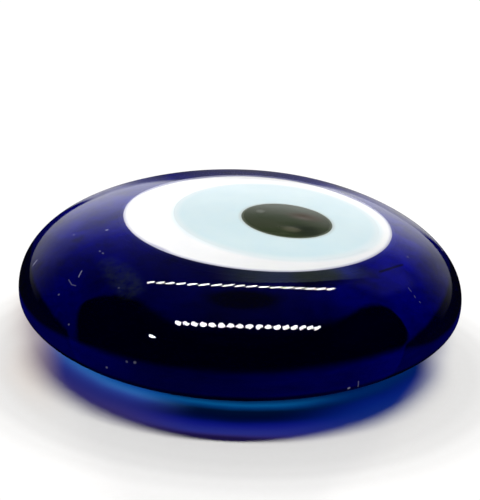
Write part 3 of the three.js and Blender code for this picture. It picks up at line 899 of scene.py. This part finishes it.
lamp_strip("lamps_back", -1.881, 2.951, 0.0419, 0.2437, 17, 23.0, (0.115, 0.092), 0.072)
lamp_strip("lamps_front", -1.50, -0.5646, 0.0419, 0.2370, 17, 36.0, (0.108, 0.012), 0.270, pointed=True)
disc = [(-3.11 * R + 0.145 * R * math.cos(t), -2.53 * R + 0.22 * R * math.sin(t), CEILING) for t in np.linspace(0, TAU, 24, endpoint=False)]
only_reflected(stage_mesh("lamp_side", disc[::-1], [tuple(range(24))], emitter("lamp_side_light", (1.0, 0.98, 0.96), 60.0)))


def area(name, loc, target, size_x, size_y, watts, colour=(1, 1, 1)):
    l = bpy.data.lights.new(name, "AREA")
    l.shape = "RECTANGLE"
    l.size, l.size_y = size_x, size_y
    l.energy = watts
    l.color = colour
    ob = bpy.data.objects.new(name, l)
    bpy.context.scene.collection.objects.link(ob)
    ob.location = loc
    ob.rotation_mode = "QUATERNION"
    ob.rotation_quaternion = (Vector(target) - Vector(loc)).to_track_quat("-Z", "Y")
    ob.visible_camera = False
    ob.visible_glossy = False
    ob.visible_transmission = False
    return ob


# The lamps as they light the sheet: a long bright line up behind the glass.
FAR = 15.0
key = area("key_strip", (0, (-1.016 + 0.86 * FAR) * R, FAR * R), (0, -1.0 * R, 0), 20 * R, 1.3 * R, 7.6)


def world():
    w = bpy.data.worlds.new("light_box")
    bpy.context.scene.world = w
    w.use_nodes = True
    w.node_tree.nodes.clear()
    nd = Nodes(w.node_tree)
    tc = nd.new("ShaderNodeTexCoord")
    d = nd.vmath("NORMALIZE", tc.outputs["Generated"])
    sp = nd.new("ShaderNodeSeparateXYZ")
    nd.put(sp.inputs[0], d)
    az = nd.math("ARCTAN2", sp.outputs["X"], sp.outputs["Y"])
    azd = nd.math("MULTIPLY", nd.math("ABSOLUTE", az), 180 / math.pi)
    el = nd.math("MULTIPLY", nd.math("ARCSINE", sp.outputs["Z"]), 180 / math.pi)
    g = lambda v: v
    by_az = nd.ramp(nd.remap(azd, 0, 90), [(0.0, 1.0), (0.17, 1.0), (0.24, 0.78), (0.30, 0.58), (0.37, 0.42), (0.44, 0.34), (0.52, 0.17), (0.62, 0.06), (0.75, 0.0)])
    side = nd.math("MULTIPLY", az, 180 / math.pi)
    by = lambda a: (a + 40.0) / 80.0
    deg = lambda r: (r + 3.0) / 7.0
    deg = lambda r: (r + 1.0) / 9.0
    rise = nd.ramp(nd.remap(side, -40, 40), [(0.0, deg(0)), (by(-22), deg(0)), (by(-14), deg(0.4)), (by(-10), deg(2.5)), (by(-7), deg(6)), (by(-4), deg(8)), (by(3), deg(8)), (by(6), deg(6.5)), (by(8.5), deg(2.5)), (by(11), deg(0)), (by(15), deg(-0.5)), (by(22), deg(-0.5)), (by(30), deg(-0.2)), (1.0, deg(0))])
    low_el = nd.math("SUBTRACT", el, nd.remap(rise, 0.0, 1.0, -1.0, 8.0))
    high_el = el
    el = nd.mixf(nd.remap(high_el, 6.0, 14.0, 0.0, 1.0), low_el, high_el)
    by_el = nd.ramp(nd.remap(el, -10, 80), [(0.0, 0.0), (0.100, 0.04), (0.130, 1.0), (0.22, 1.0), (0.29, 0.75), (0.335, 0.50), (0.38, 0.34), (0.43, 0.12), (0.50, 0.055), (0.56, 0.035), (0.655, 0.02), (0.75, 0.015), (1.0, 0.01)])
    right = nd.remap(side, 24, 34, 1.0, 0.82, smooth=True)
    tent = nd.math("MULTIPLY", nd.math("MULTIPLY", by_az, by_el), right)
    box = lambda v, a, b, soft: nd.math("MULTIPLY", nd.remap(v, a - soft, a + soft, 0.0, 1.0, smooth=True), nd.remap(v, b + soft, b - soft, 0.0, 1.0, smooth=True))
    # a strip of the box's back edge shows dimly below the horizon
    under = back_edge(nd, side)
    under = nd.math("MULTIPLY", under, nd.remap(low_el, 0.8, -0.6, 0.0, 1.0, smooth=True))
    # a dim panel between the ceiling lamps and the back
    brow = nd.math("SUBTRACT", nd.math("SUBTRACT", 49.0, nd.math("MULTIPLY", nd.math("MULTIPLY", side, side), 0.012)), high_el)
    panel = nd.math("MULTIPLY", nd.remap(brow, -0.35, 0.35, 0.0, 1.0, smooth=True), nd.remap(high_el, 34.0, 40.0, 0.0, 1.0, smooth=True))
    panel = nd.math("MULTIPLY", nd.math("MULTIPLY", panel, box(side, 0.0, 24.0, 7.0)), 0.25)
    fill = nd.math("MULTIPLY", nd.math("MULTIPLY", box(side, 26.0, 44.0, 4.0), box(high_el, 31.0, 44.0, 2.5)), 0.05)
    dim = panel
    path = nd.new("ShaderNodeLightPath")
    camera = path.outputs["Is Camera Ray"]
    bg_tent = nd.new("ShaderNodeBackground")
    nd.put(bg_tent.inputs["Color"], nd.mix(nd.remap(dim, 0.02, 0.10, 0.0, 1.0, smooth=True), (0.96, 0.97, 1.0), (0.86, 1.12, 0.75)))
    tent = nd.math("ADD", tent, nd.math("ADD", under, nd.math("ADD", dim, fill)))
    indirect = nd.math("SUBTRACT", 1.0, nd.math("MULTIPLY", path.outputs["Is Diffuse Ray"], 0.97))
    nd.put(bg_tent.inputs["Strength"], nd.math("MULTIPLY", nd.math("MULTIPLY", tent, 1.1), indirect))
    bg_cam = nd.new("ShaderNodeBackground")
    nd.put(bg_cam.inputs["Color"], (1, 1, 1))
    nd.put(bg_cam.inputs["Strength"], 1.02)
    mx = nd.new("ShaderNodeMixShader")
    nd.put(mx.inputs[0], camera)
    nd.t.links.new(bg_tent.outputs[0], mx.inputs[1])
    nd.t.links.new(bg_cam.outputs[0], mx.inputs[2])
    o = nd.new("ShaderNodeOutputWorld")
    nd.t.links.new(mx.outputs[0], o.inputs["Surface"])


world()

# ------------------------------------------------------------------ camera
CAM_DISTANCE = 3.8575
CAM_ELEVATION = math.radians(23.027)
CAM_ROLL = math.radians(2.6801)
FOCAL_PX = 850.0
AIM_X, AIM_Y = 242.3404, 247.6229


def camera():
    e, D = CAM_ELEVATION, CAM_DISTANCE
    C = np.array([0, -D * math.cos(e), D * math.sin(e) + 0.25])
    fwd = np.array([0, math.cos(e), -math.sin(e)])
    right = np.array([1.0, 0, 0])
    up = np.cross(right, fwd)
    v = np.array([(AIM_X - 240) / FOCAL_PX, -(AIM_Y - 250) / FOCAL_PX, 1.0])
    v /= np.linalg.norm(v)
    xax = np.cross([0, 1.0, 0], v)
    xax /= np.linalg.norm(xax)
    yax = np.cross(v, xax)
    M = np.c_[xax, yax, v]
    r = CAM_ROLL
    Rr = np.array([[math.cos(r), math.sin(r), 0], [-math.sin(r), math.cos(r), 0], [0, 0, 1]])
    A = np.c_[right, up, fwd] @ Rr.T @ M.T
    cam = bpy.data.cameras.new("camera")
    cam.sensor_width = 36.0
    cam.lens = FOCAL_PX * 36.0 / 500.0
    cam.clip_start, cam.clip_end = 0.005, 20.0
    ob = bpy.data.objects.new("camera", cam)
    bpy.context.scene.collection.objects.link(ob)
    mat = Matrix.Identity(4)
    for i in range(3):
        mat[i][0], mat[i][1], mat[i][2], mat[i][3] = A[i, 0], A[i, 1], -A[i, 2], C[i] * R
    ob.matrix_world = mat
    bpy.context.scene.camera = ob


camera()

sc = bpy.context.scene
sc.view_settings.view_transform = "Standard"
sc.view_settings.look = "None"
sc.view_settings.exposure = 0.0
sc.view_settings.gamma = 1.0
sc.cycles.use_denoising = True
sc.cycles.max_bounces = 16
sc.cycles.transmission_bounces = 12
sc.cycles.glossy_bounces = 6
sc.cycles.diffuse_bounces = 4
sc.cycles.transparent_max_bounces = 16
sc.cycles.caustics_reflective = False
sc.cycles.caustics_refractive = False
sc.cycles.sample_clamp_indirect = 40.0
sc.cycles.blur_glossy = 0.3
